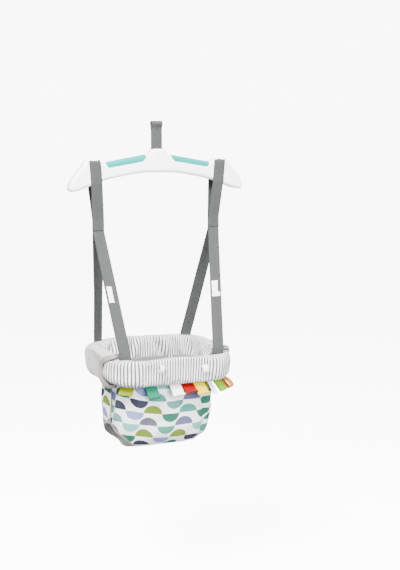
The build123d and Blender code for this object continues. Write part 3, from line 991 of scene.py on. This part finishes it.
POUCH_X = SEAM_HIGH.x - POUCH_GAP
POUCH_Y = SEAM_HIGH.y - POUCH_GAP
POUCH_TOP = SEAM_HIGH.z + TUCK_UNDER
POUCH_LENGTH = track_length(POUCH_X, POUCH_Y, POUCH_CORNER)
SIDE_SEAM = POUCH_X - POUCH_CORNER + POUCH_CORNER * pi / 2 + (POUCH_Y - POUCH_CORNER) + SIDE_SEAM_Y


def pouch_profile(samples=400):
    """Spread share, level and length down of each row, evenly spaced from the seam to the bottom."""
    rough = []
    for k in range(samples + 1):
        turn = pi / 2 * k / samples
        rough.append((cos(turn) ** 0.84, sin(turn) ** (2 / 9)))
    along = [0.0]
    for (a, b), (c, d) in zip(rough, rough[1:]):
        along.append(along[-1] + hypot((c - a) * POUCH_Y, (d - b) * POUCH_DROP))
    profile = []
    k = 0
    for i in range(POUCH_ROWS + 1):
        want = along[-1] * i / POUCH_ROWS
        while k < samples - 1 and along[k + 1] < want:
            k += 1
        t = (want - along[k]) / max(1e-9, along[k + 1] - along[k])
        share, level = (p + t * (q - p) for p, q in zip(rough[k], rough[k + 1]))
        profile.append((max(0.0, share), POUCH_TOP - POUCH_DROP * level, want))
    return profile


POUCH_PROFILE = pouch_profile()


def pouch_level(row):
    """Share, level and length down the side at a fractional row."""
    row = min(max(row, 0.0), POUCH_ROWS - 1e-6)
    low = int(row)
    a, b = POUCH_PROFILE[low], POUCH_PROFILE[low + 1]
    t = row - low
    return tuple(p + t * (q - p) for p, q in zip(a, b))


def fold_depth(along, row):
    """How far the cloth stands out at a place: gathers under the seam, hanging folds and creases."""
    share, _, down = pouch_level(row)
    gathers = noise.noise(Vector((along / 9, 1.5, down / 60))) * 1.6 * exp(-down / 26)
    hanging = noise.noise(Vector((along / 34, 6.3, down / 120))) * 4.6 * min(1.0, down / 50)
    crease = noise.noise(Vector((along / 52 + down / 60, 3.1, down / 48))) * 4.0 * min(1.0, down / 40)
    folds = 0.0
    for place, depth, width in POUCH_FOLDS:
        away = (along - place - 0.10 * down) / width
        folds += depth * exp(-away ** 2) * min(1.0, down / 36)
    return (gathers + hanging + crease + folds) * min(1.0, share * 1.6)


def pouch_point(along, row, inward=0.0):
    """A point of the pouch's cloth, moved inward by a distance."""
    share, level, down = pouch_level(row)
    x, y, nx, ny = track(along, POUCH_X, POUCH_Y, POUCH_CORNER)
    fold = fold_depth(along, row)
    belly = sqrt(max(0.0, 1 - share * share))
    sink = -(inward + 0.25 * fold) * belly
    deep = (POUCH_TOP - level) / POUCH_DROP
    lean_x = -POUCH_LEAN * deep ** 2 - POUCH_TUCK * max(0.0, nx) * min(1.0, 1.5 * deep) * share
    lift = FRONT_LIFT * max(0.0, -ny) * deep ** 2 * min(1.0, 2 * share)
    if inward >= LINING_INSIDE:
        lift += LINING_RISE * max(0.0, 1 - down / LINING_RISE_FADE)
    reach = (fold - inward) * min(1.0, share * 1.4)
    return Vector((x * share + nx * reach + lean_x, y * share + ny * reach, level - sink + lift))


def hole_value(along, row):
    """Negative inside a leg opening, in about millimetres from its edge."""
    share, level, _ = pouch_level(row)
    x, y, _, _ = track(along, POUCH_X, POUCH_Y, POUCH_CORNER)
    x, y = abs(x * share), y * share
    low_z = HOLE_TOP_Z - HOLE_HALF_HEIGHT
    reach = hypot((y - HOLE_Y) / HOLE_HALF_DEPTH, (level - low_z) / HOLE_HALF_HEIGHT)
    oval, inner = (reach - 1) * HOLE_HALF_HEIGHT, HOLE_INNER_X - x
    blend = max(0.0, HOLE_ROUNDING - abs(oval - inner)) / HOLE_ROUNDING
    return max(oval, inner) + blend * blend * HOLE_ROUNDING / 4


def wrapped(along):
    """A length along the pouch, brought between the two halves of its run."""
    return (along + POUCH_LENGTH / 2) % POUCH_LENGTH - POUCH_LENGTH / 2


def edge_shift(value, i, j):
    """The move, in rows and columns, of a point inside an opening to the opening's nearest edge."""
    nearest = None
    for down, across in ((-1, 0), (1, 0), (0, -1), (0, 1)):
        a, b = i + down, j + across
        if 0 <= a < len(value) and 0 <= b < len(value[0]) and value[a][b] >= 0:
            t = value[i][j] / (value[i][j] - value[a][b])
            if nearest is None or t < nearest[0]:
                nearest = (t, down * t, across * t)
    return nearest and nearest[1:]


def make_panel(name, start, end, inward, material):
    """A cloth panel of the pouch with its leg openings cut out."""
    columns = round(POUCH_COLUMNS * (end - start) / POUCH_LENGTH)
    middle, step = (start + end) / 2, (end - start) / columns
    value = [[hole_value(wrapped(start + step * j), i) for j in range(columns + 1)]
             for i in range(POUCH_ROWS + 1)]
    moves = {}
    for i, line in enumerate(value):
        for j, here in enumerate(line):
            move = (0.0, 0.0) if here >= 0 else edge_shift(value, i, j)
            if move:
                moves[i, j] = move

    def seat_of(i, j):
        down, across = moves.get((i, j), (0.0, 0.0))
        return start + step * (j + across), i + down

    def place(i, j):
        along, row = seat_of(i, j)
        return pouch_point(wrapped(along), row, inward)

    def spread(i, j):
        along, row = seat_of(i, j)
        share, _, down = pouch_level(row)
        return middle + (along - middle) * min(1.0, share / PRINT_FLAT_SHARE), down

    def keep(i, j):
        return all((a, b) in moves for a in (i, i + 1) for b in (j, j + 1))

    points, faces, corners = grid(POUCH_ROWS, columns, place, spread, keep=keep)
    faces = [face[::-1] for face in faces]
    corners = [corners[k + m] for k in range(0, len(corners), 4) for m in (3, 2, 1, 0)]
    piece = put_mesh(name, points, faces, corners, material)
    piece.data.validate()
    thicken(piece, CLOTH_THICK)
    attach(piece, "seat")
    return piece


def hole_edge(side, inward, count=96):
    """The edge of a leg opening as a closed loop of points, and of places along and down the cloth."""
    middle_along = side * (SIDE_SEAM + 4)
    middle_row = next(i for i in range(POUCH_ROWS) if POUCH_PROFILE[i][1] < HOLE_TOP_Z - 28)
    column = POUCH_LENGTH / POUCH_COLUMNS
    loop = []
    for k in range(count):
        turn = 2 * pi * k / count
        step_along, step_row = cos(turn) * column, sin(turn)
        reach = 1.0
        while reach < 60 and hole_value(middle_along + step_along * reach, middle_row + step_row * reach) < 0:
            reach += 0.25
        loop.append((middle_along + step_along * reach, middle_row + step_row * reach))
    places = []
    for k in range(count):
        window = [loop[(k + d) % count] for d in (-2, -1, 0, 1, 2)]
        places.append((sum(p[0] for p in window) / 5, sum(p[1] for p in window) / 5))
    places.append(places[0])
    return [pouch_point(along, row, inward) for along, row in places], places


def surface_normal(along, row):
    """The outward direction of the pouch's cloth."""
    across = pouch_point(along + 1.5, row) - pouch_point(along - 1.5, row)
    down = pouch_point(along, row + 0.6) - pouch_point(along, row - 0.6)
    return down.cross(across).normalized()


def make_leg_binding(name, side):
    """The beige binding round a leg opening."""
    edge, places = hole_edge(side, 1.6)
    sides = []
    for ahead, (along, row) in zip(headings(edge, closed=True), places):
        sides.append(ahead.cross(surface_normal(along, row)).normalized())
    binding = strip(f"{name}_leg_binding_tape", edge, lambda share: sides[round(share * (len(sides) - 1))],
                    LEG_BINDING_WIDTH, LEG_BINDING_THICK, BINDING, "seat", closed=True)
    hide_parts(f"{name}_leg_binding")


def make_side_piping(name, side):
    """The piping down a side seam, from the rim to the leg opening."""
    seam = []
    for half_row in range(2 * POUCH_ROWS):
        above = POUCH_PROFILE[half_row // 2][1] > HOLE_TOP_Z - 10
        if above and hole_value(side * SIDE_SEAM, half_row / 2) > 0:
            seam.append(pouch_point(side * SIDE_SEAM, half_row / 2, -0.6))
    piping = tube(f"{name}_side_piping_cord", seam, PIPING_RADIUS, BINDING, "seat")
    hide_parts(f"{name}_side_piping")


def make_seam_tape(count=160):
    """The tape under the rim, over the pouch's gathered top."""
    middle_z = (SEAM_LOW.z + POUCH_TOP) / 2
    path = []
    for k in range(count + 1):
        along = (k % count) * POUCH_LENGTH / count - POUCH_LENGTH / 2
        x, y, nx, ny = track(along, POUCH_X, POUCH_Y, POUCH_CORNER)
        ripple = noise.noise(Vector((along / 20, 8.8, 0)))
        path.append(Vector((x + nx * 1.6, y + ny * 1.6, middle_z + ripple)))
    tape = strip("seam_tape_band", path, lambda share: (0, 0, 1), POUCH_TOP - SEAM_LOW.z, 1.6, BINDING,
                 "seat", closed=True)
    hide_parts("seam_tape")


def make_pouch():
    """Panels, lining, piping, leg-opening bindings and the tape under the rim."""
    half = POUCH_LENGTH / 2
    for name, start, end, inward, material, node, slot in (
            ("pouch_front", -SIDE_SEAM, SIDE_SEAM, 0.0, PRINT, "pouch_front_panel", "printed_cotton"),
            ("pouch_rear", SIDE_SEAM, 2 * half - SIDE_SEAM, 0.0, PRINT, "pouch_rear_panel", "printed_cotton"),
            ("pouch_lining", -half, half, LINING_INSIDE, LINING, "seat_lining", "grey_lining")):
        piece = make_panel(name, start, end, inward, material)
        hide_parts(node)
    for name, side in SIDES.items():
        make_leg_binding(name, side)
        make_side_piping(name, side)
    make_seam_tape()


# ---- ribbon loops and small trim

def ribbon_outline(length, lift, gap):
    """A folded loop's side view, as distance out and height: down its inner ply, up its outer one."""
    angle = radians(lift)
    inner = []
    for k in range(RIBBON_STEPS + 1):
        t = k / RIBBON_STEPS
        bend = angle * (1.2 - 0.2 * t)
        inner.append((t * length * sin(bend), -t * length * cos(bend)))
    end_out, end_z = inner[-1]
    fold = []
    for k in range(1, FOLD_STEPS):
        turn = pi * k / FOLD_STEPS
        fold.append((end_out + sin(angle) * sin(turn) * gap * 0.6 + cos(angle) * gap / 2 * (1 - cos(turn)),
                     end_z - cos(angle) * sin(turn) * gap * 0.6 + sin(angle) * gap / 2 * (1 - cos(turn))))
    outer = []
    for k, (out, z) in reversed(list(enumerate(inner))):
        opened = 0.7 + (gap - 0.7) * sin(pi * 0.5 * k / RIBBON_STEPS)
        outer.append((out + cos(angle) * opened, z + sin(angle) * opened))
    return inner + fold + outer


def make_ribbon(name, width, length, lift, gap, skew):
    """A satin ribbon folded into a loop, standing off from the seam."""
    joint = next(j for j in frame["joints"] if j["name"] == f"ribbon_{name}_flap")
    root = Vector(joint["pos_m"]) / MM
    tangent = Matrix.Rotation(radians(SWIVEL.get(name, 0)), 3, "Z") @ -Vector(joint["axis"])
    outward = Vector((tangent.y, -tangent.x, 0))
    points = []
    for out, z in ribbon_outline(length, lift, gap):
        shift = tangent * (skew * (-z / length))
        points.append(root + outward * (out + 1.0) + shift + Vector((0, 0, z - 1.0)))
    ribbon = strip(f"{name}_ribbon", points, lambda share: tangent, width, RIBBON_PLY, SATINS[name],
                   f"ribbon_{name}", bead=0.0)
    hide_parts(f"ribbon_{name}")


def make_toy_loop(name, side):
    """A small flat fabric loop that stands off the front pad."""
    low, high = box_mm(f"{name}_toy_loop")
    middle_x, middle_z = (low.x + high.x) / 2, (low.z + high.z) / 2
    path = []
    for k in range(17):
        turn = pi * (k / 16 - 0.5)
        drop = (high.z - low.z) / 2 * sin(turn)
        out = high.y + 3 - 11 * cos(turn) ** 0.8
        path.append(Vector((middle_x + side * 0.25 * drop, out, middle_z - drop)))
    loop = strip(f"{name}_toy_tab", path, lambda share: (1, -0.25 * side, 0.3 * side), high.x - low.x, 1.3,
                 TOY_COTTON, "seat")
    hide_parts(f"{name}_toy_loop")


def make_anchors():
    """Bar tacks where the seat straps enter the rim."""
    lines = []
    for side in SIDES.values():
        for end in (-1, 1):
            y = end * (FOOT_Y - 3)
            z = RIM_HIGH.z + 4
            x = side * (FOOT_X + 1)
            lines.append(((x - 9, y + end * WEB_PLY, z), (x + 9, y + end * WEB_PLY, z), (0, end, 0)))
    tacks = stitches("strap_bar_tacks", lines, THREAD, "seat", 2.4, 1.8)
    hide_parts("strap_anchors")


def dress_cad_nodes():
    """Materials for the CAD parts whose own shape shows."""
    looks = {"bar_front_shell": BAR_WHITE, "bar_rear_shell": BAR_WHITE, "left_grip_insert": GRIP_TEAL,
             "right_grip_insert": GRIP_TEAL, "strap_pin": STEEL, "bar_screws": STEEL, "rim_hoop": STEEL}
    for name, material in looks.items():
        for slot in frame["nodes"][name].material_slots:
            slot.material = material


make_camera()
make_studio()
dress_cad_nodes()
make_hanging_webbing()
for side_name, side_way in SIDES.items():
    make_bar_webbing(side_name, side_way)
    for end_label, end_way in (("front", -1), ("rear", 1)):
        make_leg_webbing(side_name, side_way, end_label, end_way)
    make_label(side_name, side_way)
    make_toy_loop(side_name, side_way)
make_anchors()
make_rim()
make_pouch()
for ribbon_name, *ribbon_shape, _ in RIBBONS:
    make_ribbon(ribbon_name, *ribbon_shape)

bpy.context.view_layer.update()
